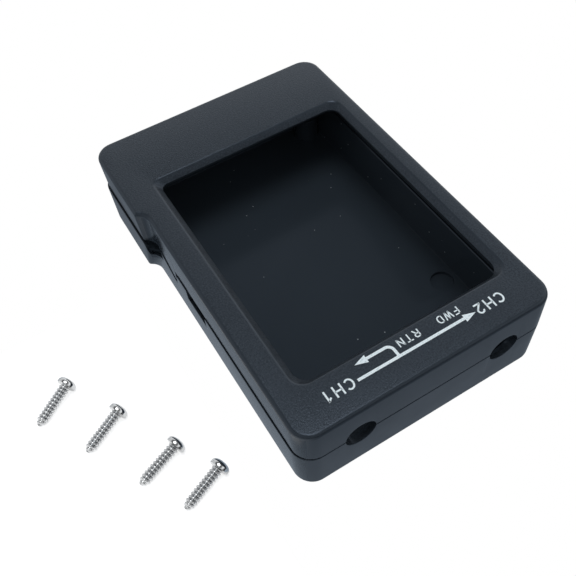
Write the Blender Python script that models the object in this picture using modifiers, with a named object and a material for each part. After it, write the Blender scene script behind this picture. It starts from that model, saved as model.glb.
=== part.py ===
"""Hand-held network analyser case: two moulded shells, and the four tapping screws that hold them.

The case is empty and stands closed on its back, and its screws are out and lie beside it. Run it with
blender --background --python part.py, or from Blender's text editor. Metres, +Z up. The origin is the
centre of the rear shell's underside, +Y points away from the end with the two ports, and -X is the
side with the stepped-in wall.
"""

import math

import bmesh
import bpy
from mathutils import Matrix, Vector

# ---------------------------------------------------------------- driving sizes
CASE_LENGTH = 0.0920            # along Y
CASE_WIDTH = 0.0616             # along X, at its full width
CASE_HEIGHT = 0.0220            # both shells, closed
PARTING_HEIGHT = 0.0127         # middle of the joint between the shells
PARTING_GAP = 0.0003            # the joint stands this far open
CORNER_RADIUS = 0.0045          # upright corners, seen from above

TOP_FILLET = 0.0010
FRONT_DRAFT = 0.0001            # how far the front shell's wall leans in over its height
BOTTOM_FILLET = 0.0018
REAR_DRAFT = 0.0002

PANEL_THICKNESS = 0.0020        # front shell's face
FLOOR_THICKNESS = 0.0020        # rear shell's floor
FRONT_WALL = 0.0016
FLOOR_FILLET = 0.0006           # inside, where the floor meets the wall

SKIRT_SKIN = 0.0010             # front wall left outside the rebate
REBATE_HEIGHT = 0.0015
TONGUE_THICKNESS = 0.00075      # rear shell's rim, which stands in the rebate
TONGUE_CLEARANCE = 0.0003

STEP_DEPTH = 0.00215            # the -X wall stands in by this much near the ports
SCOOP_RADIUS = 0.0035           # concave round between the full width and the step
FRONT_SCOOP_Y = 0.0175          # where the round ends on the front shell
REAR_SCOOP_Y = 0.0160           # the same on the rear shell, at the joint
REAR_SCOOP_RUN = 0.0045         # how much further back it ends at the underside

WINDOW_WIDTH = 0.0503
WINDOW_LENGTH = 0.0639
WINDOW_CENTRE_X = 0.00185
WINDOW_CENTRE_Y = -0.00405
WINDOW_RADIUS = 0.0030
LIP_TAPER = 0.0007              # how far the window's edge leans in through the panel
LIP_TAPER_STEP_SIDE = 0.0014    # the same on the -X side

PORT_RADIUS = 0.00345
PORT_SPACING = 0.0345
PORT_CENTRE_X = 0.0017

LEVER_POCKET_START = 0.0169     # Y range of the pocket under the front shell's scoop
LEVER_POCKET_END = 0.0222
LEVER_POCKET_DEPTH = 0.0030
LEVER_POCKET_SKIN = 0.0008

TAB_END_Y = 0.0089              # tab of the front shell that closes the switch notch
TAB_LENGTH = 0.0066
TAB_DROP = 0.0036
TAB_TOE = 0.0005                # the tab's lowest edge is this long
TAB_CLEARANCE = 0.0004

USB_SLOT_Y = -0.0017
USB_SLOT_LENGTH = 0.0090
USB_SLOT_HEIGHT = 0.0032

FLOOR_POCKET_RADIUS = 0.0028    # round sink in the floor beside each long wall
FLOOR_POCKET_DEPTH = 0.0008
FLOOR_POCKET_Y = -0.0205
FLOOR_POCKET_EDGE = 0.0004

SCREW_THREAD_RADIUS = 0.0013
SCREW_LENGTH = 0.0100           # under the head
SCREW_POINT = 0.0020            # tapered end of the thread
SCREW_TIP_RADIUS = 0.0004       # the point is blunt
SCREW_HEAD_RADIUS = 0.0022
SCREW_HEAD_HEIGHT = 0.0017
SCREW_HEAD_RIM = 0.0004
HEAD_FLATNESS = 0.7             # power that flattens the dome of the head
RECESS_SPAN = 0.0022            # cross recess, tip to tip
RECESS_WIDTH = 0.0005
RECESS_DEPTH = 0.0010

BOSS_SETBACK = 0.0013           # from a boss's side to the inside of the front shell's walls
PILOT_RADIUS = 0.00105
PILOT_STOP = 0.0032             # solid plastic between a pilot hole and the panel
BOSS_WALL = 0.00115
POST_TOP = 0.0085               # rear shell's posts end here, and the front shell's bosses start
POST_GAP = 0.0003
POST_WALL = 0.0010
SEAT_HEIGHT = 0.0050            # the screw heads' seats
HEAD_CLEARANCE = 0.00035
THREAD_CLEARANCE = 0.0002

# Each loose screw's place on the table: head's X and Y, and the way the point faces, in degrees.
SCREW_PLACES = (
    (-0.0606, 0.0020, -148.5),
    (-0.0535, -0.0102, -154.0),
    (-0.0464, -0.0238, -161.0),
    (-0.0410, -0.0329, -159.5),
)

# ---------------------------------------------------------------- worked out from them
HALF_WIDTH = CASE_WIDTH / 2
HALF_LENGTH = CASE_LENGTH / 2
REAR_WALL = SKIRT_SKIN + TONGUE_CLEARANCE + TONGUE_THICKNESS
FRONT_BASE = PARTING_HEIGHT + PARTING_GAP / 2
REAR_RIM = PARTING_HEIGHT - PARTING_GAP / 2
REBATE_TOP = FRONT_BASE + REBATE_HEIGHT
TONGUE_TOP = REBATE_TOP - TONGUE_CLEARANCE
BOSS_RADIUS = PILOT_RADIUS + BOSS_WALL
SEAT_RADIUS = SCREW_HEAD_RADIUS + HEAD_CLEARANCE
POST_RADIUS = SEAT_RADIUS + POST_WALL
THREAD_HOLE_RADIUS = SCREW_THREAD_RADIUS + THREAD_CLEARANCE
STEP_X = -HALF_WIDTH + STEP_DEPTH

CORNER_STEPS = 7
SCOOP_STEPS = 6
FILLET_STEPS = 4
ROUND_SIDES = 40
HOLE_SIDES = 28
SMALLEST_RADIUS = 0.0003
OVERRUN = 0.0010                # how far a cutter runs past the face it opens
ROOT = 0.0002                   # how deep one solid sinks into the one it is joined to
MERGE_DISTANCE = 0.000001
SMOOTH_ANGLE = math.radians(35)


# ---------------------------------------------------------------- helpers
def clear_scene():
    """Remove every object of the scene that the script starts in."""
    for thing in list(bpy.data.objects):
        bpy.data.objects.remove(thing, do_unlink=True)


def new_collection(name):
    """Make a collection and link it to the scene."""
    collection = bpy.data.collections.new(name)
    bpy.context.scene.collection.children.link(collection)
    return collection


def new_material(name, colour, roughness, metallic):
    """Make a Principled material with one colour."""
    material = bpy.data.materials.new(name)
    material.use_nodes = True
    shader = material.node_tree.nodes["Principled BSDF"]
    shader.inputs["Base Color"].default_value = (*colour, 1.0)
    shader.inputs["Roughness"].default_value = roughness
    shader.inputs["Metallic"].default_value = metallic
    return material


def object_from_bmesh(bm, name, collection):
    """Turn a bmesh into an object, with its faces pointing out."""
    bmesh.ops.recalc_face_normals(bm, faces=bm.faces)
    mesh = bpy.data.meshes.new(name)
    bm.to_mesh(mesh)
    bm.free()
    thing = bpy.data.objects.new(name, mesh)
    collection.objects.link(thing)
    return thing


def apply_modifiers(thing):
    """Keep what an object's modifiers make as its own mesh."""
    depsgraph = bpy.context.evaluated_depsgraph_get()
    depsgraph.update()
    mesh = bpy.data.meshes.new_from_object(thing.evaluated_get(depsgraph))
    thing.modifiers.clear()
    thing.data = mesh


def combine(thing, other, operation):
    """Cut other out of thing, or join it to thing, and put other away as a guide."""
    modifier = thing.modifiers.new(operation.title(), "BOOLEAN")
    modifier.operation = operation
    modifier.solver = "EXACT"
    modifier.object = other
    apply_modifiers(thing)
    other.hide_render = True
    other.display_type = "WIRE"


def finish(thing, material):
    """Give an object its material, and shade its rounds smooth."""
    thing.data.materials.clear()
    thing.data.materials.append(material)
    thing.data.shade_smooth()
    thing.data.set_sharp_from_angle(angle=SMOOTH_ANGLE)


# ---------------------------------------------------------------- shapes seen from above
def arc(centre_x, centre_y, radius, start, end, steps):
    """Points on an arc, from angle start to angle end in degrees."""
    points = []
    for index in range(steps + 1):
        angle = math.radians(start + (end - start) * index / steps)
        points.append((centre_x + radius * math.cos(angle), centre_y + radius * math.sin(angle)))
    return points


def case_outline(inset, scoop_y):
    """The case from above, pulled in by inset: a rounded oblong whose -X side steps in at scoop_y.

    The step is a concave round. Its centre stands outside the case, so that the round runs into the
    stepped-in wall without a corner and meets the full-width wall at one.
    """
    radius = max(CORNER_RADIUS - inset, SMALLEST_RADIUS)
    right = HALF_WIDTH - inset
    left = -HALF_WIDTH + inset
    step = STEP_X + inset
    far = HALF_LENGTH - inset
    points = arc(step + radius, -far + radius, radius, 180, 270, CORNER_STEPS)
    points += arc(right - radius, -far + radius, radius, 270, 360, CORNER_STEPS)
    points += arc(right - radius, far - radius, radius, 0, 90, CORNER_STEPS)
    points += arc(left + radius, far - radius, radius, 90, 180, CORNER_STEPS)
    centre_x = STEP_X - SCOOP_RADIUS
    scoop = SCOOP_RADIUS + inset
    start = math.degrees(math.acos((left - centre_x) / scoop))
    points += arc(centre_x, scoop_y, scoop, start, 0, SCOOP_STEPS)
    return points


def rounded_oblong(left, right, near, far, radius):
    """An oblong with four equal round corners."""
    points = arc(left + radius, near + radius, radius, 180, 270, CORNER_STEPS)
    points += arc(right - radius, near + radius, radius, 270, 360, CORNER_STEPS)
    points += arc(right - radius, far - radius, radius, 0, 90, CORNER_STEPS)
    points += arc(left + radius, far - radius, radius, 90, 180, CORNER_STEPS)
    return points


def loft(name, sections, collection):
    """A closed solid through level sections, each a height and its outline, lowest first."""
    bm = bmesh.new()
    rings = []
    for height, outline in sections:
        rings.append([bm.verts.new((x, y, height)) for x, y in outline])
    bm.faces.new(list(reversed(rings[0])))
    bm.faces.new(rings[-1])
    count = len(rings[0])
    for lower, upper in zip(rings, rings[1:]):
        for index in range(count):
            after = (index + 1) % count
            bm.faces.new((lower[index], lower[after], upper[after], upper[index]))
    return object_from_bmesh(bm, name, collection)


def cylinder(name, radius, centre, low, high, collection, sides=HOLE_SIDES, axis="Z"):
    """A cylinder about an axis along Z or Y through centre, from low to high on it."""
    bm = bmesh.new()
    bmesh.ops.create_cone(bm, cap_ends=True, segments=sides, radius1=radius, radius2=radius, depth=high - low)
    middle = (low + high) / 2
    if axis == "Z":
        place = Matrix.Translation((centre[0], centre[1], middle))
    else:
        place = Matrix.Translation((centre[0], middle, centre[1])) @ Matrix.Rotation(math.radians(90), 4, "X")
    bm.transform(place)
    return object_from_bmesh(bm, name, collection)


def box(name, low, high, collection):
    """A box between two corners."""
    size = Vector(high) - Vector(low)
    bm = bmesh.new()
    bmesh.ops.create_cube(bm, size=1.0)
    bm.transform(Matrix.Translation((Vector(low) + Vector(high)) / 2) @ Matrix.Diagonal((*size, 1.0)))
    return object_from_bmesh(bm, name, collection)


def side_plate(name, outline, low_x, high_x, collection):
    """A flat plate with its outline in Y and Z, between two X values."""
    bm = bmesh.new()
    ring = [bm.verts.new((low_x, y, z)) for y, z in outline]
    face = bm.faces.new(ring)
    extruded = bmesh.ops.extrude_face_region(bm, geom=[face])
    moved = [item for item in extruded["geom"] if isinstance(item, bmesh.types.BMVert)]
    bmesh.ops.translate(bm, verts=moved, vec=(high_x - low_x, 0.0, 0.0))
    return object_from_bmesh(bm, name, collection)


# ---------------------------------------------------------------- places that both shells share
def boss_places():
    """Where the four screws go: one in each corner, beside the port holes."""
    offset = FRONT_WALL + BOSS_SETBACK + BOSS_RADIUS
    left_near = STEP_X + offset
    left_far = -HALF_WIDTH + offset
    right = HALF_WIDTH - offset
    side = HALF_LENGTH - offset
    return ((left_near, -side), (right, -side), (right, side), (left_far, side))


def port_places():
    """Each port hole's X."""
    return (PORT_CENTRE_X - PORT_SPACING / 2, PORT_CENTRE_X + PORT_SPACING / 2)


def cut_ports(shell, cutters):
    """Cut the two port holes through the wall at the near end, on the joint between the shells."""
    for index, x in enumerate(port_places()):
        low = -HALF_LENGTH - OVERRUN
        high = -HALF_LENGTH + REAR_WALL + OVERRUN
        hole = cylinder(f"{shell.name}_port_{index + 1}", PORT_RADIUS, (x, PARTING_HEIGHT), low, high,
                        cutters, ROUND_SIDES, "Y")
        combine(shell, hole, "DIFFERENCE")


def tab_outline(margin):
    """The switch tab in Y and Z: straight at its near end, and sloping up to the joint at its far end."""
    near = TAB_END_Y - margin
    far = TAB_END_Y + TAB_LENGTH + margin
    bottom = FRONT_BASE - TAB_DROP - margin
    top = FRONT_BASE + ROOT
    toe = TAB_END_Y + TAB_TOE + margin
    return ((near, top), (near, bottom), (toe, bottom), (far, FRONT_BASE - margin), (far, top))


# ---------------------------------------------------------------- front shell
def front_sections():
    """Outside of the front shell: a leaning wall, then the fillet up to the flat face."""
    sections = [(FRONT_BASE, case_outline(0.0, FRONT_SCOOP_Y))]
    for index in range(FILLET_STEPS + 1):
        angle = math.radians(90 * index / FILLET_STEPS)
        height = CASE_HEIGHT - TOP_FILLET * (1 - math.sin(angle))
        inset = FRONT_DRAFT + TOP_FILLET * (1 - math.cos(angle))
        sections.append((height, case_outline(inset, FRONT_SCOOP_Y)))
    return sections


def window_sections():
    """The window's cutter: its sides lean in from the face to the panel's inner side."""
    left = WINDOW_CENTRE_X - WINDOW_WIDTH / 2
    right = WINDOW_CENTRE_X + WINDOW_WIDTH / 2
    near = WINDOW_CENTRE_Y - WINDOW_LENGTH / 2
    far = WINDOW_CENTRE_Y + WINDOW_LENGTH / 2
    sections = []
    for depth in (PANEL_THICKNESS + OVERRUN, PANEL_THICKNESS, 0.0, -OVERRUN):
        share = min(max(depth / PANEL_THICKNESS, 0.0), 1.0)
        lean = LIP_TAPER * share
        outline = rounded_oblong(left + LIP_TAPER_STEP_SIDE * share, right - lean, near + lean, far - lean,
                                 WINDOW_RADIUS - lean)
        sections.append((CASE_HEIGHT - depth, outline))
    return sections


def build_front_shell(parts, cutters, material):
    """Front shell: panel with the window, four walls with a rebate, a switch tab and four bosses."""
    shell = loft("front_shell", front_sections(), parts)
    ceiling = CASE_HEIGHT - PANEL_THICKNESS
    cavity_outline = case_outline(FRONT_WALL, FRONT_SCOOP_Y)
    cavity = loft("front_cavity",
                  [(FRONT_BASE - OVERRUN, cavity_outline), (ceiling, cavity_outline)], cutters)
    combine(shell, cavity, "DIFFERENCE")
    rebate_outline = case_outline(SKIRT_SKIN, FRONT_SCOOP_Y)
    rebate = loft("rebate", [(FRONT_BASE - OVERRUN, rebate_outline), (REBATE_TOP, rebate_outline)], cutters)
    combine(shell, rebate, "DIFFERENCE")
    combine(shell, loft("window_opening", window_sections(), cutters), "DIFFERENCE")
    tab = side_plate("switch_tab", tab_outline(0.0), STEP_X, STEP_X + SKIRT_SKIN, cutters)
    combine(shell, tab, "UNION")
    for index, place in enumerate(boss_places()):
        boss = cylinder(f"boss_{index + 1}", BOSS_RADIUS, place, POST_TOP + POST_GAP, ceiling + ROOT, cutters)
        combine(shell, boss, "UNION")
        pilot = cylinder(f"pilot_{index + 1}", PILOT_RADIUS, place, POST_TOP + POST_GAP - OVERRUN,
                         ceiling - PILOT_STOP, cutters)
        combine(shell, pilot, "DIFFERENCE")
    cut_ports(shell, cutters)
    finish(shell, material)
    return shell


# ---------------------------------------------------------------- rear shell
def rear_scoop_at(height):
    """Where the step's round ends at a height: it leans back towards the underside."""
    return REAR_SCOOP_Y + REAR_SCOOP_RUN * (1 - height / PARTING_HEIGHT)


def rear_sections():
    """Outside of the rear shell: the fillet up from the underside, then a leaning wall to the rim."""
    sections = []
    for index in range(FILLET_STEPS + 1):
        angle = math.radians(90 * index / FILLET_STEPS)
        height = BOTTOM_FILLET * (1 - math.cos(angle))
        inset = REAR_DRAFT + BOTTOM_FILLET * (1 - math.sin(angle))
        sections.append((height, case_outline(inset, rear_scoop_at(height))))
    sections.append((REAR_RIM, case_outline(0.0, rear_scoop_at(REAR_RIM))))
    return sections


def rear_cavity_sections():
    """Inside of the rear shell, with a small fillet round the floor."""
    sections = []
    for index in range(FILLET_STEPS + 1):
        angle = math.radians(90 * index / FILLET_STEPS)
        height = FLOOR_THICKNESS + FLOOR_FILLET * (1 - math.cos(angle))
        inset = REAR_WALL + FLOOR_FILLET * (1 - math.sin(angle))
        sections.append((height, case_outline(inset, rear_scoop_at(height))))
    top = TONGUE_TOP + OVERRUN
    sections.append((REAR_RIM, case_outline(REAR_WALL, rear_scoop_at(REAR_RIM))))
    sections.append((top, case_outline(REAR_WALL, rear_scoop_at(REAR_RIM))))
    return sections


def build_tongue(cutters):
    """The raised rim that stands in the front shell's rebate, left out round the lever's pocket."""
    outer = case_outline(SKIRT_SKIN + TONGUE_CLEARANCE, FRONT_SCOOP_Y)
    inner = case_outline(REAR_WALL, FRONT_SCOOP_Y)
    tongue = loft("tongue", [(REAR_RIM - ROOT, outer), (TONGUE_TOP, outer)], cutters)
    middle = loft("tongue_middle", [(REAR_RIM - OVERRUN, inner), (TONGUE_TOP + OVERRUN, inner)], cutters)
    combine(tongue, middle, "DIFFERENCE")
    low = (-HALF_WIDTH - OVERRUN, TAB_END_Y - TAB_CLEARANCE - OVERRUN, REAR_RIM - OVERRUN)
    high = (STEP_X + STEP_DEPTH + REAR_WALL, LEVER_POCKET_END + OVERRUN, TONGUE_TOP + OVERRUN)
    combine(tongue, box("tongue_break", low, high, cutters), "DIFFERENCE")
    return tongue


def build_rear_shell(parts, cutters, material):
    """Rear shell: floor, four walls, the tongue, the side openings and four counterbored posts."""
    shell = loft("rear_shell", rear_sections(), parts)
    combine(shell, loft("rear_cavity", rear_cavity_sections(), cutters), "DIFFERENCE")
    combine(shell, build_tongue(cutters), "UNION")
    for index, place in enumerate(boss_places()):
        post = cylinder(f"post_{index + 1}", POST_RADIUS, place, FLOOR_THICKNESS - ROOT, POST_TOP, cutters)
        combine(shell, post, "UNION")
        seat = cylinder(f"seat_{index + 1}", SEAT_RADIUS, place, -OVERRUN, SEAT_HEIGHT, cutters)
        combine(shell, seat, "DIFFERENCE")
        hole = cylinder(f"thread_hole_{index + 1}", THREAD_HOLE_RADIUS, place, SEAT_HEIGHT - ROOT,
                        POST_TOP + OVERRUN, cutters)
        combine(shell, hole, "DIFFERENCE")
    for name, wall_x, inward in (("right", HALF_WIDTH, -1), ("left", STEP_X, 1)):
        x = wall_x + inward * (REAR_WALL + FLOOR_FILLET + FLOOR_POCKET_EDGE + FLOOR_POCKET_RADIUS)
        pocket = cylinder(f"floor_pocket_{name}", FLOOR_POCKET_RADIUS, (x, FLOOR_POCKET_Y),
                          FLOOR_THICKNESS - FLOOR_POCKET_DEPTH, FLOOR_THICKNESS + OVERRUN, cutters)
        combine(shell, pocket, "DIFFERENCE")
    cut_ports(shell, cutters)
    cut_side_openings(shell, cutters)
    finish(shell, material)
    return shell


def cut_side_openings(shell, cutters):
    """Cut the lever's pocket, the switch notch and the USB slot down into the rear shell's -X wall."""
    top = TONGUE_TOP + OVERRUN
    inside = STEP_X + REAR_WALL + OVERRUN
    outside = -HALF_WIDTH + LEVER_POCKET_SKIN
    pocket = box("lever_pocket", (outside, LEVER_POCKET_START, REAR_RIM - LEVER_POCKET_DEPTH),
                 (inside, LEVER_POCKET_END, top), cutters)
    combine(shell, pocket, "DIFFERENCE")
    notch = side_plate("switch_notch", tab_outline(TAB_CLEARANCE), -HALF_WIDTH - OVERRUN, inside, cutters)
    combine(shell, notch, "DIFFERENCE")
    half = USB_SLOT_LENGTH / 2
    slot = box("usb_slot", (-HALF_WIDTH - OVERRUN, USB_SLOT_Y - half, REAR_RIM - USB_SLOT_HEIGHT),
               (inside, USB_SLOT_Y + half, top), cutters)
    combine(shell, slot, "DIFFERENCE")


# ---------------------------------------------------------------- screws
def screw_profile():
    """Half outline of a screw, head up, from the top of the head down to the point."""
    points = []
    dome = SCREW_HEAD_HEIGHT - SCREW_HEAD_RIM
    for index in range(FILLET_STEPS + 1):
        angle = math.radians(90 * index / FILLET_STEPS)
        height = SCREW_HEAD_RIM + dome * math.cos(angle) ** HEAD_FLATNESS
        points.append((SCREW_HEAD_RADIUS * math.sin(angle), height))
    points.append((SCREW_HEAD_RADIUS, 0.0))
    points.append((SCREW_THREAD_RADIUS, 0.0))
    points.append((SCREW_THREAD_RADIUS, SCREW_POINT - SCREW_LENGTH))
    points.append((SCREW_TIP_RADIUS, -SCREW_LENGTH))
    points.append((0.0, -SCREW_LENGTH))
    return points


def screw_mesh(cutters):
    """One screw's mesh about Z, with its cross recess cut in the head."""
    profile = screw_profile()
    mesh = bpy.data.meshes.new("tapping_screw")
    edges = [(index, index + 1) for index in range(len(profile) - 1)]
    mesh.from_pydata([(x, 0.0, z) for x, z in profile], edges, [])
    screw = bpy.data.objects.new("tapping_screw", mesh)
    cutters.objects.link(screw)
    turn = screw.modifiers.new("Turn", "SCREW")
    turn.steps = HOLE_SIDES
    turn.render_steps = HOLE_SIDES
    turn.use_merge_vertices = True
    turn.merge_threshold = MERGE_DISTANCE
    apply_modifiers(screw)
    top = SCREW_HEAD_HEIGHT + OVERRUN
    bottom = SCREW_HEAD_HEIGHT - RECESS_DEPTH
    long = RECESS_SPAN / 2
    short = RECESS_WIDTH / 2
    combine(screw, box("recess_x", (-long, -short, bottom), (long, short, top), cutters), "DIFFERENCE")
    combine(screw, box("recess_y", (-short, -long, bottom), (short, long, top), cutters), "DIFFERENCE")
    mesh = screw.data
    bpy.data.objects.remove(screw)
    return mesh


def build_screws(parts, cutters, material):
    """Four screws that lie on the table, each on the rim of its head and the end of its thread."""
    mesh = screw_mesh(cutters)
    lean = math.atan2(SCREW_HEAD_RADIUS - SCREW_THREAD_RADIUS, SCREW_LENGTH - SCREW_POINT)
    height = SCREW_HEAD_RADIUS * math.cos(lean)
    for index, (x, y, heading) in enumerate(SCREW_PLACES):
        screw = bpy.data.objects.new(f"screw_{index + 1}", mesh)
        parts.objects.link(screw)
        # The point, at -Z, is laid along +X and dipped by the lean, and then turned to its heading.
        turn = Matrix.Rotation(math.radians(heading), 4, "Z")
        dip = Matrix.Rotation(-(math.pi / 2 - lean), 4, "Y")
        screw.matrix_world = Matrix.Translation((x, y, height)) @ turn @ dip
    finish(parts.objects["screw_1"], material)


def main():
    """Build the case and its screws."""
    clear_scene()
    parts = new_collection("network_analyser_case")
    cutters = new_collection("cutters")
    plastic = new_material("black_abs", (0.030, 0.036, 0.043), 0.55, 0.0)
    rear_plastic = new_material("black_abs_rear", (0.028, 0.034, 0.041), 0.50, 0.0)
    steel = new_material("plated_steel", (0.72, 0.73, 0.75), 0.25, 1.0)
    build_rear_shell(parts, cutters, rear_plastic)
    build_front_shell(parts, cutters, plastic)
    build_screws(parts, cutters, steel)


main()
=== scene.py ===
"""Looks of an empty hand-held analyser case and the four screws that lie beside it.

Run inside Blender 4.5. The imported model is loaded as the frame; the two moulded shells, the white
marks on the face and the screws are built round it in millimetres and placed in its axes: +Z up,
+Y away from the end with the two ports, -X the side that steps in.
"""

import logging
import math
from collections.abc import Callable
from dataclasses import dataclass, field
from enum import IntEnum

import bmesh
import bpy
import numpy as np
from bpy.types import Material, Node, NodeTree, Object
from mathutils import Matrix, Vector


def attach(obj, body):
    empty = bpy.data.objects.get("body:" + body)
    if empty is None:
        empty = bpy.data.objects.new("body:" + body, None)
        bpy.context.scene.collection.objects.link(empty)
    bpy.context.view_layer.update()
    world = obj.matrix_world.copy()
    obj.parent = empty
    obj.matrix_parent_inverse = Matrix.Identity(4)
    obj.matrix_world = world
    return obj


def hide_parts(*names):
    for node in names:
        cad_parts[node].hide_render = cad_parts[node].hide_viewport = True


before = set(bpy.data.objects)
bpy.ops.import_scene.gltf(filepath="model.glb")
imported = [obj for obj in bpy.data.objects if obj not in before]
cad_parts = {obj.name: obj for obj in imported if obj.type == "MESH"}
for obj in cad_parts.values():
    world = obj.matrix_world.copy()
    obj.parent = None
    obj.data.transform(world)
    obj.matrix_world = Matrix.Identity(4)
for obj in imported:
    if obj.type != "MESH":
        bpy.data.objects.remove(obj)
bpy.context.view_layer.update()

MM = 0.001
SHARP = math.radians(35.0)
HAIR = 0.02  # two columns this far apart make an upright wall
LOG = logging.getLogger("analyser_case")
# A Map Range node's inputs 1 to 4: first and last value in, first and last value out.
SPREAD = {1: 0.3, 2: 0.7}       # most of a noise's values, in

Pair = tuple[float, float]
Test = Callable[[np.ndarray, np.ndarray], np.ndarray]


# ---------------------------------------------------------------- meshes
def ring_faces(rows: int, columns: int, closed: bool) -> np.ndarray:
    """Quads of a grid whose columns run round in a ring.

    Corner (i, j) joins (i, j + 1), (i + 1, j + 1) and (i + 1, j), with j taken round the ring, and i
    too where the grid is closed.

    Args:
        rows: number of rings.
        columns: points in each ring.
        closed: whether the last ring joins the first.

    Returns:
        Array of quads, four point numbers each, in row order.
    """
    number = np.arange(rows * columns).reshape(rows, columns)
    upper = np.roll(number, -1, axis=0) if closed else number[1:]
    lower = number if closed else number[:-1]
    quads = np.stack([lower, np.roll(lower, -1, axis=1), np.roll(upper, -1, axis=1), upper], axis=-1)
    return quads.reshape(-1, 4)


def capped_faces(rows: int, columns: int, start: int = 0) -> list[list[int]]:
    """Faces of a solid: its rings joined in order, with a flat face on the first and on the last.

    Args:
        rows: number of rings.
        columns: points in each ring.
        start: number of the first point.

    Returns:
        Point numbers of each face.
    """
    end = start + rows * columns
    caps = [list(range(start + columns - 1, start - 1, -1)), list(range(end - columns, end))]
    return (ring_faces(rows, columns, closed=False) + start).tolist() + caps


def revolved(radius: np.ndarray, height: np.ndarray, turn: np.ndarray) -> np.ndarray:
    """Grid of points (r cos t, r sin t, z), with r and z down its rows and t along them."""
    return np.stack([radius * np.cos(turn), radius * np.sin(turn), height + 0.0 * turn], axis=-1)


def bow(x: float, y: float, wide: float, high: float, start: float, end: float,
        count: int = 17) -> np.ndarray:
    """Points (x + a cos t, y + b sin t) on an ellipse.

    Args:
        x: X of its middle.
        y: Y of its middle.
        wide: half its width, a.
        high: half its height, b.
        start: first angle t, in degrees.
        end: last angle.
        count: number of points.

    Returns:
        X and Y of each point.
    """
    angle = np.radians(np.linspace(start, end, count))
    return np.stack([x + wide * np.cos(angle), y + high * np.sin(angle)], axis=1)


def vectors(parts: bpy.types.bpy_prop_collection, key: str) -> np.ndarray:
    """Read a property of three numbers from every part of a mesh.

    Args:
        parts: vertices or faces of the mesh.
        key: name of the property.

    Returns:
        One row for each part.
    """
    values = np.empty(len(parts) * 3)
    parts.foreach_get(key, values)
    return values.reshape(-1, 3)


def make_object(name: str, points: np.ndarray, faces: list[list[int]]) -> Object:
    """Put points and faces into a new mesh object, with doubles merged and normals facing out.

    Args:
        name: name of the object.
        points: points in millimetres.
        faces: point numbers of each face.

    Returns:
        The object, linked to the scene.
    """
    mesh = bpy.data.meshes.new(name)
    mesh.from_pydata((np.asarray(points) * MM).tolist(), [], faces)
    work = bmesh.new()
    work.from_mesh(mesh)
    bmesh.ops.remove_doubles(work, verts=work.verts, dist=1e-7)
    bmesh.ops.dissolve_degenerate(work, edges=work.edges, dist=1e-8)
    bmesh.ops.recalc_face_normals(work, faces=work.faces)
    work.to_mesh(mesh)
    work.free()
    thing = bpy.data.objects.new(name, mesh)
    bpy.context.scene.collection.objects.link(thing)
    return thing


def turned(name: str, profile: np.ndarray, centres: np.ndarray, sides: int) -> Object:
    """Solids of revolution about upright axes, one at each centre.

    A point is (x + r cos t, y + r sin t, z), with r and z along the profile and t round the ring.

    Args:
        name: name of the object that holds them all.
        profile: radius and height of each ring, in millimetres; the ends are closed flat.
        centres: x and y of each axis, in millimetres.
        sides: points round each ring.

    Returns:
        One object with a closed solid at each centre.
    """
    angle = np.linspace(0.0, 2.0 * np.pi, sides, endpoint=False)
    one = revolved(profile[:, 0, None], profile[:, 1, None], angle).reshape(1, -1, 3)
    shifts = np.concatenate([centres, np.zeros((len(centres), 1))], axis=1)
    points = (one + shifts[:, None, :]).reshape(-1, 3)
    faces = []
    for start in range(0, len(points), one.shape[1]):
        faces += capped_faces(len(profile), sides, start)
    return make_object(name, points, faces)


def carve(thing: Object, tool: Object, operation: str) -> None:
    """Join a tool solid to a mesh or cut it away, and delete the tool.

    Args:
        thing: object that is changed.
        tool: object that is used up.
        operation: UNION or DIFFERENCE.
    """
    modifier = thing.modifiers.new(operation.title(), "BOOLEAN")
    modifier.operation = operation
    modifier.solver = "EXACT"
    modifier.object = tool
    depsgraph = bpy.context.evaluated_depsgraph_get()
    mesh = bpy.data.meshes.new_from_object(thing.evaluated_get(depsgraph))
    thing.modifiers.clear()
    thing.data = mesh
    bpy.data.objects.remove(tool)


def shade(thing: Object) -> None:
    """Shade a mesh smooth, with its hard edges kept.

    Args:
        thing: object of the mesh.
    """
    thing.data.shade_smooth()
    thing.data.set_sharp_from_angle(angle=SHARP)


def quarter(radius: float, steps: int) -> tuple[np.ndarray, np.ndarray]:
    """Quarter round from upright to flat.

    Args:
        radius: radius in millimetres.
        steps: number of parts.

    Returns:
        Distances r (1 - cos t) inwards and r sin t upwards, with t from 0 to 90 degrees.
    """
    angle = np.linspace(0.0, np.pi / 2, steps + 1)
    return radius * (1.0 - np.cos(angle)), radius * np.sin(angle)


# ---------------------------------------------------------------- finishes
def linear(code: str) -> tuple[float, float, float, float]:
    """Turn an sRGB colour to linear: s / 12.92 where dark, else ((s + 0.055) / 1.055) ^ 2.4.

    Args:
        code: hex code such as '1a2b3c'.

    Returns:
        Linear red, green and blue, with alpha 1.
    """
    share = [int(code[start:start + 2], 16) / 255.0 for start in (0, 2, 4)]
    made = [part / 12.92 if part <= 0.04045 else ((part + 0.055) / 1.055) ** 2.4 for part in share]
    return (made[0], made[1], made[2], 1.0)


def node(tree: NodeTree, kind: str, settings: dict | None = None, links: dict | None = None) -> Node:
    """Add a node with its settings and links.

    Args:
        tree: node tree that takes it.
        kind: type name of the node, without the "ShaderNode" that it starts with.
        settings: values of its own properties, by name, or of its inputs, by number or name.
        links: what feeds its inputs, by number or name: a socket, or a node for its first output.

    Returns:
        The node.
    """
    made = tree.nodes.new("ShaderNode" + kind)
    for key, value in (settings or {}).items():
        if isinstance(key, str) and hasattr(made, key):
            setattr(made, key, value)
        else:
            made.inputs[key].default_value = value
    for key, source in (links or {}).items():
        socket = source.outputs[0] if isinstance(source, Node) else source
        tree.links.new(socket, made.inputs[key])
    return made


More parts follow.
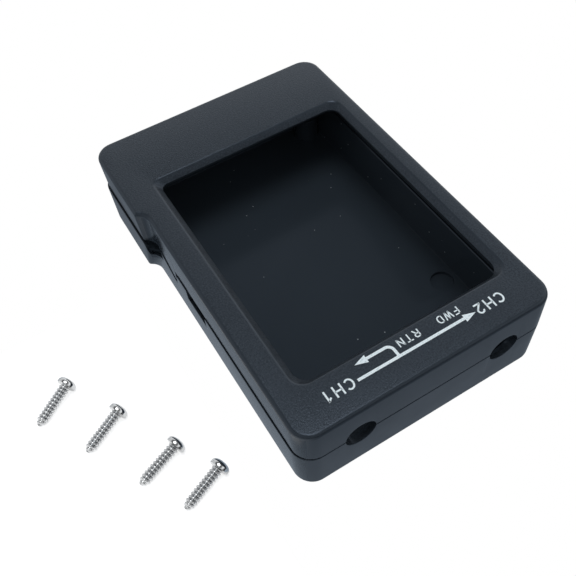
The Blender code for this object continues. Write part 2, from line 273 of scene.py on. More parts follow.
def new_material(name: str) -> tuple[Material, NodeTree, Node]:
    """Start a material.

    Args:
        name: name of the material.

    Returns:
        The material, its emptied node tree and its output node.
    """
    material = bpy.data.materials.new(name)
    material.use_nodes = True
    tree = material.node_tree
    tree.nodes.clear()
    return material, tree, node(tree, "OutputMaterial")


@dataclass(frozen=True)
class MouldedPlastic:
    """Black ABS as it comes from the mould.

    The mould's skin gives a grain of pits and bumps; larger, weaker patches vary the gloss, and
    handling leaves a few pale specks.
    """

    name: str
    colour: str
    pale: str  # where rubbed or dusty
    roughness: float
    roughness_swing: float
    grain_mm: float  # distance between bumps of the grain
    grain_height: float  # height of the grain, in millimetres
    wear: float = 0.35  # how pale the tops of the grain are
    specular: float = 0.5
    patch_mm: float = 9.0  # size of the gloss patches
    sheen: str = "cfe1f8"  # tint of the highlights
    speck_mm: float = 2.6  # distance between the places of dust specks
    speck_size: float = 0.05  # radius of a speck, as a share of that distance
    speck_rarity: float = 0.86  # share of those places that stay clean

    def material(self) -> Material:
        """Build the finish as a node material on Object coordinates.

        Returns:
            The material.
        """
        material, tree, output = new_material(self.name)
        place = node(tree, "TexCoord").outputs["Object"]
        grain = node(tree, "TexNoise", {"Scale": 1 / (self.grain_mm * MM), "Detail": 2.0, "Roughness": 0.6},
                     {"Vector": place})
        patch = node(tree, "TexNoise", {"Scale": 1 / (self.patch_mm * MM), "Detail": 3.0}, {"Vector": place})
        speck = node(tree, "TexVoronoi", {"Scale": 1 / (self.speck_mm * MM)}, {"Vector": place})
        chosen = node(tree, "SeparateColor", None, {0: speck.outputs["Color"]})
        near = node(tree, "MapRange", {1: self.speck_size, 2: self.speck_size * 0.5, 3: 0.0, 4: 1.0},
                    {0: speck.outputs["Distance"]})
        rare = node(tree, "Math", {"operation": "GREATER_THAN", 1: self.speck_rarity}, {0: chosen})
        dust = node(tree, "Math", {"operation": "MULTIPLY"}, {0: near, 1: rare})
        worn = node(tree, "MapRange", {1: 0.35, 2: 0.75, 3: 0.0, 4: self.wear}, {0: grain.outputs["Fac"]})
        most = node(tree, "Math", {"operation": "MAXIMUM"}, {0: dust, 1: worn})
        colour = node(tree, "Mix", {"data_type": "RGBA", 6: linear(self.colour), 7: linear(self.pale)},
                      {0: most})
        gloss = node(tree, "MapRange", {**SPREAD, 3: self.roughness - self.roughness_swing,
                                        4: self.roughness + self.roughness_swing}, {0: patch.outputs["Fac"]})
        bump = node(tree, "Bump", {"Strength": 1.0, "Distance": self.grain_height * MM},
                    {"Height": grain.outputs["Fac"]})
        shader = node(tree, "BsdfPrincipled",
                      {"IOR": 1.53, "Specular IOR Level": self.specular, "Specular Tint": linear(self.sheen)},
                      {"Base Color": colour.outputs[2], "Roughness": gloss, "Normal": bump})
        tree.links.new(shader.outputs[0], output.inputs[0])
        return material


@dataclass(frozen=True)
class PrintedInk:
    """White two-part epoxy ink, pad printed: thin, matt, a little uneven where the pad lifted."""

    name: str = "white_epoxy_ink_pad_printed"
    colour: str = "e9f4f8"
    thin: str = "c3d3da"
    patch_mm: float = 0.35
    roughness: float = 0.55

    def material(self) -> Material:
        """Build the finish as a node material on Object coordinates.

        Returns:
            The material.
        """
        material, tree, output = new_material(self.name)
        place = node(tree, "TexCoord").outputs["Object"]
        patch = node(tree, "TexNoise", {"Scale": 1 / (self.patch_mm * MM), "Detail": 2.0}, {"Vector": place})
        cover = node(tree, "MapRange", {1: 0.25, 2: 0.5, 3: 1.0, 4: 0.0}, {0: patch.outputs["Fac"]})
        colour = node(tree, "Mix", {"data_type": "RGBA", 6: linear(self.colour), 7: linear(self.thin)},
                      {0: cover})
        shader = node(tree, "BsdfPrincipled", {"Roughness": self.roughness, "IOR": 1.5},
                      {"Base Color": colour.outputs[2]})
        tree.links.new(shader.outputs[0], output.inputs[0])
        return material


@dataclass(frozen=True)
class PlatedSteel:
    """Carbon steel, thread rolled, bright zinc-nickel plate: mirror-like with slight frosting."""

    name: str = "carbon_steel_bright_plated"
    colour: str = "eeeeed"
    dull: str = "cccdce"
    root: str = "b9bbbd"  # painted shade in the thread's root, where some oil also stays
    frost_mm: float = 0.25
    roughness: float = 0.07
    roughness_swing: float = 0.03

    def material(self) -> Material:
        """Build the finish as a node material on Object coordinates.

        Returns:
            The material.
        """
        material, tree, output = new_material(self.name)
        place = node(tree, "TexCoord").outputs["Object"]
        frost = node(tree, "TexNoise", {"Scale": 1 / (self.frost_mm * MM), "Detail": 3.0}, {"Vector": place})
        colour = node(tree, "Mix", {"data_type": "RGBA", 6: linear(self.colour), 7: linear(self.dull)},
                      {0: frost.outputs["Fac"]})
        # darker towards the thread's root: painted shade in the groove, with some oil
        depth = node(tree, "Attribute", {"attribute_name": "root"}).outputs["Fac"]
        colour = node(tree, "Mix", {"data_type": "RGBA", 7: linear(self.root)},
                      {0: depth, 6: colour.outputs[2]})
        gloss = node(tree, "MapRange", {**SPREAD, 3: self.roughness - self.roughness_swing,
                                        4: self.roughness + self.roughness_swing}, {0: frost.outputs["Fac"]})
        shader = node(tree, "BsdfPrincipled", {"Metallic": 1.0},
                      {"Base Color": colour.outputs[2], "Roughness": gloss})
        tree.links.new(shader.outputs[0], output.inputs[0])
        return material


# Spark-eroded mould face: an even, matt grain of tiny pits, which breaks highlights into a fine sparkle.
# The real grain is about 0.1 mm; it is drawn at 0.36 mm so that it shows.
FACE_ABS = MouldedPlastic("abs_black_spark_eroded_face", "101418", "3a4148", 0.36, 0.03, 0.36, 0.060,
                          wear=0.6, specular=0.56)
# Ground mould face: the walls are smoother than the face and carry a satin sheen.
WALL_ABS = MouldedPlastic("abs_black_satin_wall", "1d2227", "2b3137", 0.34, 0.03, 0.16, 0.0008)
# Polished core of the mould: the inside is smooth, has a weak gloss, and gathers dust.
# Its base colour is painted lighter than the walls' and face's black: painted light for the dim inside.
INSIDE_ABS_PAINTED_LIGHT = MouldedPlastic("abs_black_polished_inside_painted_light", "2d343b", "a8aeb4", 0.18, 0.02, 0.8, 0.0005,
                            wear=0.0, specular=0.22, speck_mm=2.9, speck_size=0.055, speck_rarity=0.5)


# ---------------------------------------------------------------- the case
class Run(IntEnum):
    """Stretches of the case's outline, in order round it."""

    NEAR_LEFT = 0
    NEAR = 1
    NEAR_RIGHT = 2
    RIGHT = 3
    FAR_RIGHT = 4
    FAR = 5
    FAR_LEFT = 6
    LEFT = 7
    SCOOP = 8
    STEP = 9


@dataclass(frozen=True)
class CasePlan:
    """Sizes that both shells share, in millimetres, and the outline that carries their profiles."""

    width: float = 61.6
    length: float = 92.0
    full_height: float = 22.0  # with the printed ink
    height: float = 21.98
    joint: float = 12.7
    gap: float = 0.3
    corner: float = 4.5
    step: float = 2.15
    scoop: float = 3.5
    nose: float = 1.0  # convex round where the full-width wall turns into the scoop
    skirt: float = 1.0
    rebate: float = 1.5
    tongue: float = 0.75
    clearance: float = 0.3
    port_radius: float = 3.45
    port_spacing: float = 34.5
    port_x: float = 1.7
    boss_inset: float = 5.1
    edge: float = 0.12  # rounding of the rims at the joint
    guard: float = 0.08  # spare row beside that rounding, which keeps the walls' shading flat
    margin: float = 1.0  # from an arc or a hole to the next column
    cavity_inset: float = 1.2  # what lies further in than this is inside the case
    corner_steps: int = 12
    scoop_steps: int = 10
    nose_steps: int = 5
    port_steps: int = 28
    breaks: tuple[float, ...] = (15.9, 15.5, 9.8, 9.4)  # bends of the switch tab and its notch
    walls: tuple[float, ...] = (8.9, 8.5, 7.5, 2.8, -6.2)  # upright ends of openings in the step side
    plain_from: float = -9.0  # where that side turns plain

    @property
    def right(self) -> float:
        """X of the +X wall."""
        return self.width / 2

    @property
    def far(self) -> float:
        """Y of the far wall."""
        return self.length / 2

    @property
    def step_x(self) -> float:
        """X of the stepped-in wall."""
        return self.step - self.right

    @property
    def ports(self) -> Pair:
        """X of each port hole."""
        return (self.port_x - self.port_spacing / 2, self.port_x + self.port_spacing / 2)

    @property
    def boss_places(self) -> np.ndarray:
        """X and Y of the four screw bosses."""
        off = self.boss_inset
        return np.array([(self.step_x + off, off - self.far), (self.right - off, off - self.far),
                         (self.right - off, self.far - off), (off - self.right, self.far - off)])

    def within(self, centre: np.ndarray) -> np.ndarray:
        """Whether points lie inside the walls, as seen from above."""
        return np.all(np.abs(centre[:, :2]) < np.array([self.right, self.far]) - self.cavity_inset, axis=1)

    def near_stations(self) -> np.ndarray:
        """Columns along the near wall: x = port - r cos t round each port hole.

        Returns:
            X of each column.
        """
        turn = np.linspace(0.0, np.pi, self.port_steps + 1)
        holes = [port - self.port_radius * np.cos(turn) for port in self.ports]
        inner = np.linspace(holes[0][-1] + self.margin, holes[1][0] - self.margin, 6)
        return np.concatenate([[self.step_x + self.corner + self.margin], holes[0], inner, holes[1],
                               [self.right - self.corner - self.margin]])

    def step_stations(self) -> np.ndarray:
        """Columns down the stepped-in wall, two for each upright wall.

        Returns:
            Y of each column, in falling order.
        """
        pairs = np.array([(wall + HAIR / 2, wall - HAIR / 2) for wall in self.walls]).ravel()
        plain = np.linspace(self.plain_from, self.margin - self.far + self.corner, 6)
        return np.sort(np.concatenate([self.breaks, pairs, plain]))[::-1]

    def runs(self) -> list[tuple[Run, int]]:
        """List the stretches of the outline.

        Returns:
            Each stretch and its number of points.
        """
        arc = self.corner_steps + 1
        return [(Run.NEAR_LEFT, arc), (Run.NEAR, len(self.near_stations())), (Run.NEAR_RIGHT, arc),
                (Run.RIGHT, 4), (Run.FAR_RIGHT, arc), (Run.FAR, 4), (Run.FAR_LEFT, arc), (Run.LEFT, 4),
                (Run.SCOOP, self.nose_steps + self.scoop_steps + 1), (Run.STEP, len(self.step_stations()))]

    def labels(self) -> np.ndarray:
        """Number of the stretch that each point of the outline belongs to."""
        return np.concatenate([np.full(count, run) for run, count in self.runs()])

    def outline(self, inset: float, scoop_y: float) -> np.ndarray:
        """The case from above, pulled in by inset.

        Corners are arcs of radius (corner - inset) about fixed centres. The step is an S of two arcs
        that touch: (nose - inset) about a centre inside the wall, then (scoop + inset) about one
        outside it. Their common angle t follows from step = (nose + scoop) (1 - cos t).

        Args:
            inset: distance inwards.
            scoop_y: Y where the step's arc runs into the stepped wall.

        Returns:
            X and Y of each point, counter-clockwise from the near left corner.
        """

        def corner(x: float, y: float, start: float) -> np.ndarray:
            """Quarter arc about (x, y) from an angle in degrees."""
            radius = self.corner - inset
            return bow(x, y, radius, radius, start, start + 90.0, self.corner_steps + 1)

        def straight(x: np.ndarray | float, y: np.ndarray | float) -> np.ndarray:
            """Points on a straight stretch, with x or y held."""
            return np.stack(np.broadcast_arrays(np.asarray(x, float), np.asarray(y, float)), axis=1)

        step_centre, side_centre = self.step_x + self.corner, self.right - self.corner
        end_centre = self.far - self.corner
        pivot = self.step_x - self.scoop
        bend, nose = self.scoop + inset, max(self.nose - inset, 0.05)
        start = math.acos(1.0 - self.step / (bend + nose))
        angle = np.linspace(start, 0.0, self.scoop_steps + 1)
        turn = np.linspace(0.0, start, self.nose_steps + 1)[:-1]
        scoop_top = scoop_y + (bend + nose) * math.sin(start)
        lowest = scoop_top + self.margin
        left_y = np.append(end_centre + (lowest - end_centre) * np.array([0.3, 0.6, 1.0]), lowest - HAIR)
        across = np.array([0.6, 0.2, -0.2, -0.6])
        return np.concatenate([
            corner(step_centre, -end_centre, 180.0),
            straight(self.near_stations(), inset - self.far),
            corner(side_centre, -end_centre, 270.0),
            straight(self.right - inset, end_centre * -across),
            corner(side_centre, end_centre, 0.0),
            straight(side_centre * across, self.far - inset),
            corner(-side_centre, end_centre, 90.0),
            straight(inset - self.right, left_y),
            np.stack([inset - self.right + nose * (1.0 - np.cos(turn)),
                      scoop_top - nose * np.sin(turn)], axis=1),
            np.stack([pivot + bend * np.cos(angle), scoop_y + bend * np.sin(angle)], axis=1),
            straight(self.step_x + inset, self.step_stations()),
        ])

    def boxed(self, low: np.ndarray, high: np.ndarray, radii: np.ndarray) -> np.ndarray:
        """A rounded oblong with the outline's own number of points, stretch by stretch.

        On its straight stretches each point stands square across from the case's own one, and those
        past a stretch's end gather there.

        Args:
            low: lowest X and Y.
            high: highest X and Y.
            radii: radius of the near left, near right, far right and far left corners.

        Returns:
            X and Y of each point.
        """
        base = self.outline(0.0, FrontShell.scoop_y)
        label = self.labels()
        near_left, near_right, far_right, far_left = radii
        points = np.clip(base, low, high)
        for run, start, radius, x, y in (
                (Run.NEAR_LEFT, 180.0, near_left, low[0] + near_left, low[1] + near_left),
                (Run.NEAR_RIGHT, 270.0, near_right, high[0] - near_right, low[1] + near_right),
                (Run.FAR_RIGHT, 0.0, far_right, high[0] - far_right, high[1] - far_right),
                (Run.FAR_LEFT, 90.0, far_left, low[0] + far_left, high[1] - far_left)):
            points[label == run] = bow(x, y, radius, radius, start, start + 90.0, self.corner_steps + 1)
        for runs, axis, side, first, last in (
                ((Run.NEAR,), 0, low, near_left, near_right),
                ((Run.FAR,), 0, high, far_left, far_right),
                ((Run.RIGHT,), 1, high, near_right, far_right),
                ((Run.LEFT, Run.SCOOP, Run.STEP), 1, low, near_left, far_left)):
            part = np.isin(label, runs)
            points[part, axis] = np.clip(points[part, axis], low[axis] + first, high[axis] - last)
            points[part, 1 - axis] = side[1 - axis]
        return points

    def leant(self, inset: float, scoop_y: float, amount: np.ndarray) -> np.ndarray:
        """The outline, with each point moved further inwards, square to it, by its own amount.

        Args:
            inset: distance inwards of the whole outline.
            scoop_y: Y where the step's arc runs into the stepped wall.
            amount: further distance of each point.

        Returns:
            X and Y of each point.
        """
        ring = self.outline(inset, scoop_y)
        inwards = (self.outline(inset + 0.1, scoop_y) - ring) / 0.1
        return ring + inwards * amount[:, None]

    def left_side(self, left: float, step: float) -> np.ndarray:
        """A size that the full-width left side, the stepped side and the stretch between them have.

        Args:
            left: its value along the full-width side.
            step: its value along the stepped side.

        Returns:
            The value at each point: it fades out round the two corners and is 0 elsewhere.
        """
        label, share = self.labels(), np.linspace(0.0, 1.0, self.corner_steps + 1)
        value = np.zeros(len(label))
        value[label == Run.NEAR_LEFT] = step * (1.0 - share)
        value[label == Run.FAR_LEFT] = left * share
        value[label == Run.LEFT] = left
        value[label == Run.STEP] = step
        scoop = label == Run.SCOOP
        value[scoop] = np.linspace(left, step, int(scoop.sum()))
        return value

    def port_arch(self) -> np.ndarray:
        """Half height of the port holes: sqrt(r^2 - d^2) at distance d from a hole's axis.

        Returns:
            The half height over each column, 0 beside the holes.
        """
        base = self.outline(0.0, FrontShell.scoop_y)
        distance = np.min(np.abs(base[:, 0, None] - np.array(self.ports)), axis=1)
        arch = np.sqrt(np.maximum(self.port_radius ** 2 - distance ** 2, 0.0))
        return np.where(self.labels() == Run.NEAR, arch, 0.0)


def stack_rows(rows: list[tuple[np.ndarray, np.ndarray | float]]) -> np.ndarray:
    """Rings of X and Y with their heights, as one array of rows by columns by three."""
    return np.stack([np.column_stack([xy, np.broadcast_to(height, len(xy))]) for xy, height in rows])


def finish_shell(shell: Object, finishes: list[Material], inside: Test, face: Test) -> None:
    """Give each face of a shell its finish, and shade it.

    Args:
        shell: the shell.
        finishes: wall, face and inside materials.
        inside: test of face centres and normals, in millimetres, for the inside.
        face: the same for the textured face.
    """
    mesh = shell.data
    for material in finishes:
        mesh.materials.append(material)
    centre, normal = vectors(mesh.polygons, "center") / MM, vectors(mesh.polygons, "normal")
    slot = np.where(inside(centre, normal), 2, np.where(face(centre, normal), 1, 0))
    mesh.polygons.foreach_set("material_index", slot.astype(np.int32))
    shade(shell)


@dataclass
class FrontShell:
    """Front shell: flat face with a window, walls with a rebate, the switch tab and four bosses."""

    plan: CasePlan = field(default_factory=CasePlan)
    scoop_y: float = 17.5
    top_fillet: float = 1.0
    draft: float = 0.1
    panel: float = 2.0
    wall: float = 1.6
    window_low: Pair = (-23.3, -36.0)
    window_high: Pair = (27.0, 27.9)
    window_radii: tuple[float, ...] = (3.2, 3.0, 2.6, 1.7)  # near left, near right, far right, far left
    shadow: Pair = (0.42, 0.24)  # how far the rim stands in on the left and stepped sides
    lip_depth: float = 1.5
    lip_round: float = 0.32
    taper: float = 1.07  # how far the lip leans in, and on the step's side
    step_taper: float = 1.55
    tab: tuple[Pair, ...] = ((8.9, 3.6), (9.4, 3.6), (15.5, 0.0))  # Y, drop
    boss_radius: float = 2.2
    pilot_radius: float = 0.9
    pilot_top: float = 16.8
    pilot_lead: Pair = (0.25, 0.3)  # how much wider its mouth is, and over what depth
    boss_base: float = 8.8
    overlap: float = 0.2  # how far a boss reaches into the panel

    def window(self, depth: float, out: float) -> np.ndarray:
        """The window's rounded oblong, which leans in with depth.

        Args:
            depth: distance below the face.
            out: how far it is grown.

        Returns:
            X and Y of each point.
        """
        share = depth / self.lip_depth
        low = np.array(self.window_low) + share * np.array([self.step_taper, self.taper]) - out
        high = np.array(self.window_high) - share * self.taper + out
        return self.plan.boxed(low, high, np.array(self.window_radii) + out)

    def rim(self) -> np.ndarray:
        """The lower rim: arched over the ports, and dropped at the tab.

        Returns:
            Its height over each column.
        """
        plan = self.plan
        base = plan.joint + plan.gap / 2
        rim = np.maximum(plan.joint + plan.port_arch(), base)
        y = plan.outline(0.0, self.scoop_y)[:, 1]
        ends, drops = zip(*self.tab)
        inside = (plan.labels() == Run.STEP) & (y > ends[0] - HAIR) & (y < ends[-1] + HAIR)
        return np.where(inside, base - np.interp(y, ends, drops), rim)

    def build(self) -> Object:
        """Carry the profile round the outline, and add the bosses.

        Returns:
            The shell.
        """
        plan = self.plan
        top, ceiling = plan.height, plan.full_height - self.panel
        rim = self.rim()
        rebate = np.maximum(rim, plan.joint + plan.gap / 2 + plan.rebate)

        def wall_ring(inset: float) -> np.ndarray:
            """Outline of the wall at an inset."""
            return plan.outline(inset, self.scoop_y)

        lip = self.window(self.lip_depth, 0.0)
        rows = [(lip, ceiling), (lip, top - self.lip_depth)]
        over, rise = quarter(self.lip_round, 5)
        rows += [(self.window(self.lip_round - up, out), top - self.lip_round + up)
                 for out, up in zip(over, rise)]
        over, rise = quarter(self.top_fillet, 8)
        rows += [(wall_ring(self.draft + out), top - self.top_fillet + up)
                 for out, up in zip(over[::-1], rise[::-1])]
        base = plan.joint + plan.gap / 2
        lean = self.draft * (rim - base) / (top - self.top_fillet - base) + plan.left_side(*self.shadow)
        over, rise = quarter(plan.edge, 3)
        rows += [(plan.leant(0.0, self.scoop_y, lean), rim + plan.edge + plan.guard)]
        rows += [(plan.leant(out, self.scoop_y, lean), rim + plan.edge - up) for out, up in zip(over, rise)]
        rows += [(wall_ring(plan.skirt), rim), (wall_ring(plan.skirt), rebate),
                 (wall_ring(self.wall), rebate), (wall_ring(self.wall), ceiling)]
        grid = stack_rows(rows)
        faces = ring_faces(*grid.shape[:2], closed=True).tolist()
        shell = make_object("front_case", grid.reshape(-1, 3), faces)
        boss = np.array([(self.boss_radius, self.boss_base), (self.boss_radius, ceiling + self.overlap)])
        carve(shell, turned("boss_tool", boss, plan.boss_places, 40), "UNION")
        wider, deep = self.pilot_lead
        pilot = np.array([(self.pilot_radius + wider, self.boss_base - 0.1),
                          (self.pilot_radius, self.boss_base + deep), (self.pilot_radius, self.pilot_top)])
        carve(shell, turned("pilot_tool", pilot, plan.boss_places, 32), "DIFFERENCE")
        return shell

    def dress(self, shell: Object, finishes: list[Material]) -> None:
        """Give the shell its finishes and its place in the frame.

        Args:
            shell: the built shell.
            finishes: wall, face and inside materials.
        """
        top = self.plan.height

        def is_inside(centre: np.ndarray, _normal: np.ndarray) -> np.ndarray:
            """Faces within the walls and below the panel."""
            return self.plan.within(centre) & (centre[:, 2] < top - self.panel + 0.1)

        def is_face(centre: np.ndarray, normal: np.ndarray) -> np.ndarray:
            """Choose the level faces at the top, and the window's lip.

            Args:
                centre: middle of each face.
                normal: its normal.

            Returns:
                Whether each face is one.
            """
            low, high = np.array(self.window_low) - 1.0, np.array(self.window_high) + 1.0
            lip = np.all((centre[:, :2] > low) & (centre[:, :2] < high), axis=1)
            lip &= (centre[:, 2] > top - self.lip_depth) & (centre[:, 2] < top - self.lip_round)
            return lip | (centre[:, 2] > top - 0.01) & (normal[:, 2] > 0.9)

        finish_shell(shell, finishes, is_inside, is_face)
        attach(shell, "front_half")
        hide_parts("front_shell")


@dataclass
class RearShell:
    """Rear shell: floor, walls, the tongue, the side openings and four counterbored posts."""

    plan: CasePlan = field(default_factory=CasePlan)
    scoop_y: float = 16.0
    scoop_run: float = 4.5
    fillet: float = 1.8
    draft: float = 0.2
    floor: float = 2.0
    floor_fillet: float = 0.12
    open_left: float = 0.3  # extra width of the joint on the full-width left side
    open_step: float = 0.15  # the same on the stepped side
    open_scoop: float = 3.15  # and at the lever pocket
    trench: float = 1.0  # depth of the groove behind the rim on the left
    usb: tuple[float, float, float] = (-6.2, 2.8, 3.2)  # Y range, depth
    notch: tuple[Pair, ...] = ((8.5, 3.7), (9.8, 3.7), (15.9, 0.1))  # Y, depth below rim
    tongue_end: float = 7.5
    tongue_lead: float = 0.15  # slope at the tongue's top edges
    pocket_low: tuple[float, float, float] = (-30.0, 16.9, 9.55)
    pocket_high: tuple[float, float, float] = (-25.6, 22.2, 15.0)
    sink_radius: float = 2.8
    sink_depth: float = 0.8
    sink_places: tuple[Pair, ...] = ((24.95, -20.5), (-22.8, -20.5))
    post_radius: float = 3.55
    post_top: float = 8.5
    post_edge: float = 0.15  # bevel round a post's top
    seat_radius: float = 2.55
    seat_top: float = 5.0
    seat_edge: float = 0.2  # bevel round a seat's mouth
    hole_radius: float = 1.4

    @property
    def rim_height(self) -> float:
        """Height of the plain rim."""
        return self.plan.joint - self.plan.gap / 2

    @property
    def wall(self) -> float:
        """Thickness of the wall, which is flush with the tongue's inner side."""
        return self.plan.skirt + self.plan.clearance + self.plan.tongue

    def scoop_at(self, height: float) -> float:
        """Y where the step's arc ends at a height: it leans back towards the underside."""
        return self.scoop_y + self.scoop_run * (1.0 - height / self.plan.joint)

    def rims(self) -> tuple[np.ndarray, np.ndarray]:
        """The outer rim, lowered at the joint's wide parts, the notch and the slot, and the tongue.

        Returns:
            Heights of the rim and of the tongue over each column.
        """
        plan = self.plan
        label = plan.labels()
        y = plan.outline(0.0, self.scoop_y)[:, 1]
        arch = plan.port_arch()
        widened = plan.left_side(self.open_left, self.open_step)
        along = np.arange(plan.nose_steps + plan.scoop_steps + 1) / plan.nose_steps
        widened[label == Run.SCOOP] = np.interp(along, (0.0, 1.0), (self.open_left, self.open_scoop))
        rim = np.minimum(plan.joint - arch, self.rim_height - widened)
        on_step = label == Run.STEP
        ends, drops = zip(*self.notch)
        in_notch = on_step & (y > ends[0] - HAIR * 0.9) & (y < ends[-1] + HAIR)
        rim = np.where(in_notch, self.rim_height - np.interp(y, ends, drops), rim)
        in_usb = on_step & (y > self.usb[0] - HAIR * 0.4) & (y < self.usb[1] + HAIR * 0.4)
        rim = np.where(in_usb, self.rim_height - self.usb[2], rim)
        top = plan.joint + plan.gap / 2 + plan.rebate - plan.clearance
        last = np.flatnonzero(label == Run.LEFT)[-1]
        number = np.arange(len(label))
        broken = (number >= last) & ((label != Run.STEP) | (y > self.tongue_end - HAIR * 0.4))
        return rim, np.where(broken | in_usb | (arch > 0.0), rim, top)

    def build(self) -> Object:
        """Carry the profile round the outline, then add the posts and cut the pocket and seats.

        Returns:
            The shell.
        """
        plan = self.plan
        rim, tongue = self.rims()
        lead = self.tongue_lead

        def ring(inset: float, height: float) -> np.ndarray:
            """Outline at an inset, with the step's lean at a height."""
            return plan.outline(inset, self.scoop_at(min(height, self.rim_height)))

        over, rise = quarter(self.fillet, 8)
        rows = [(ring(self.draft + self.fillet - up, self.fillet - (self.fillet - out)), out)
                for out, up in zip(over, rise)]
        over, rise = quarter(plan.edge, 3)
        lean = self.draft * (self.rim_height - rim) / (self.rim_height - self.fillet)
        at_rim = self.scoop_at(self.rim_height)
        rows += [(plan.leant(0.0, at_rim, lean), rim - plan.edge - plan.guard)]
        rows += [(plan.leant(out, at_rim, lean), rim - plan.edge + up) for out, up in zip(over, rise)]
        trench = rim - plan.left_side(self.trench, self.trench)
        ledge = plan.skirt + plan.clearance
        rows += [(ring(inset, self.rim_height), height) for inset, height in (
            (plan.edge + 0.04, rim), (plan.edge + 0.05, trench), (ledge, trench),
            (ledge, np.maximum(tongue - lead, rim)), (ledge + lead, tongue), (self.wall - lead, tongue),
            (self.wall, np.maximum(tongue - lead, rim - lead)))]
        over, rise = quarter(self.floor_fillet, 5)
        rows += [(ring(self.wall + self.floor_fillet - inset, self.floor + up), self.floor + up)
                 for inset, up in zip(rise[::-1], over[::-1])]
        grid = stack_rows(rows)
        shell = make_object("rear_case", grid.reshape(-1, 3), capped_faces(*grid.shape[:2]))
        post = [(self.post_radius, self.floor - 0.2), (self.post_radius, self.post_top - self.post_edge),
                (self.post_radius - self.post_edge, self.post_top)]
        seat = [(self.seat_radius + self.seat_edge, -0.1), (self.seat_radius, self.seat_edge),
                (self.seat_radius, self.seat_top), (self.hole_radius, self.seat_top),
                (self.hole_radius, self.post_top + 0.5)]
        sink = [(self.sink_radius - 0.1, self.floor - self.sink_depth), (self.sink_radius, self.floor + 0.3)]
        for name, profile, places, operation in (
                ("post_tool", post, plan.boss_places, "UNION"),
                ("seat_tool", seat, plan.boss_places, "DIFFERENCE"),
                ("sink_tool", sink, np.array(self.sink_places), "DIFFERENCE")):
            carve(shell, turned(name, np.array(profile), places, 48), operation)
        low, high = np.array(self.pocket_low), np.array(self.pocket_high)
        flat = low[:2] + np.array([(0, 0), (1, 0), (1, 1), (0, 1)]) * (high - low)[:2]
        pocket = stack_rows([(flat, low[2]), (flat, high[2])])
        carve(shell, make_object("pocket_tool", pocket.reshape(-1, 3), capped_faces(2, 4)), "DIFFERENCE")
        return shell

    def dress(self, shell: Object, finishes: list[Material]) -> None:
        """Give the shell its finishes and its place in the frame.

        Args:
            shell: the built shell.
            finishes: wall, face and inside materials.
        """

        def is_inside(centre: np.ndarray, _normal: np.ndarray) -> np.ndarray:
            """Faces within the walls and above the floor's underside."""
            low, high = self.floor - 1.0, self.plan.joint + 1.0
            return self.plan.within(centre) & (centre[:, 2] > low) & (centre[:, 2] < high)

        def is_face(centre: np.ndarray, normal: np.ndarray) -> np.ndarray:
            """The level underside."""
            return (centre[:, 2] < 0.05) & (normal[:, 2] < -0.9)

        finish_shell(shell, finishes, is_inside, is_face)
        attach(shell, "rear_half")
        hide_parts("rear_shell")


# ---------------------------------------------------------------- print
def line(*ends: float) -> np.ndarray:
    """Straight stroke through points given as x, y, x, y."""
    return np.array(ends, float).reshape(-1, 2)


# Strokes of each letter about its own middle, with its foot at 0 and its top at 1.
STROKES = {
    "C": (bow(0.02, 0.5, 0.33, 0.425, 42, 318),),
    "H": (line(-0.3, 0, -0.3, 1), line(0.3, 0, 0.3, 1), line(-0.3, 0.52, 0.3, 0.52)),
    "1": (line(0.08, 0, 0.08, 1), line(0.11, 0.96, -0.19, 0.7)),
    "2": (bow(0, 0.69, 0.24, 0.235, 175, -42), line(0.2, 0.56, -0.26, 0.06), line(-0.31, 0.075, 0.31, 0.075)),
    "R": (line(-0.28, 0, -0.28, 1), line(-0.35, 0.925, 0.05, 0.925), line(-0.28, 0.48, 0.05, 0.48),
          bow(0.05, 0.7025, 0.22, 0.2225, 90, -90), line(0.02, 0.5, 0.32, 0)),
    "T": (line(0, 0, 0, 1), line(-0.36, 0.925, 0.36, 0.925)),
    "N": (line(-0.3, 0, -0.3, 1), line(0.3, 0, 0.3, 1), line(-0.3, 0.97, 0.3, 0.03)),
    "F": (line(-0.25, 0, -0.25, 1), line(-0.32, 0.925, 0.33, 0.925), line(-0.25, 0.5, 0.26, 0.5)),
    "W": (line(-0.44, 1, -0.22, 0), line(-0.22, 0, 0, 0.98), line(0, 0.98, 0.22, 0), line(0.22, 0, 0.44, 1)),
    "D": (line(-0.28, 0, -0.28, 1), line(-0.35, 0.925, 0, 0.925), line(-0.35, 0.075, 0, 0.075),
          bow(0, 0.5, 0.3, 0.425, 90, -90)),
}


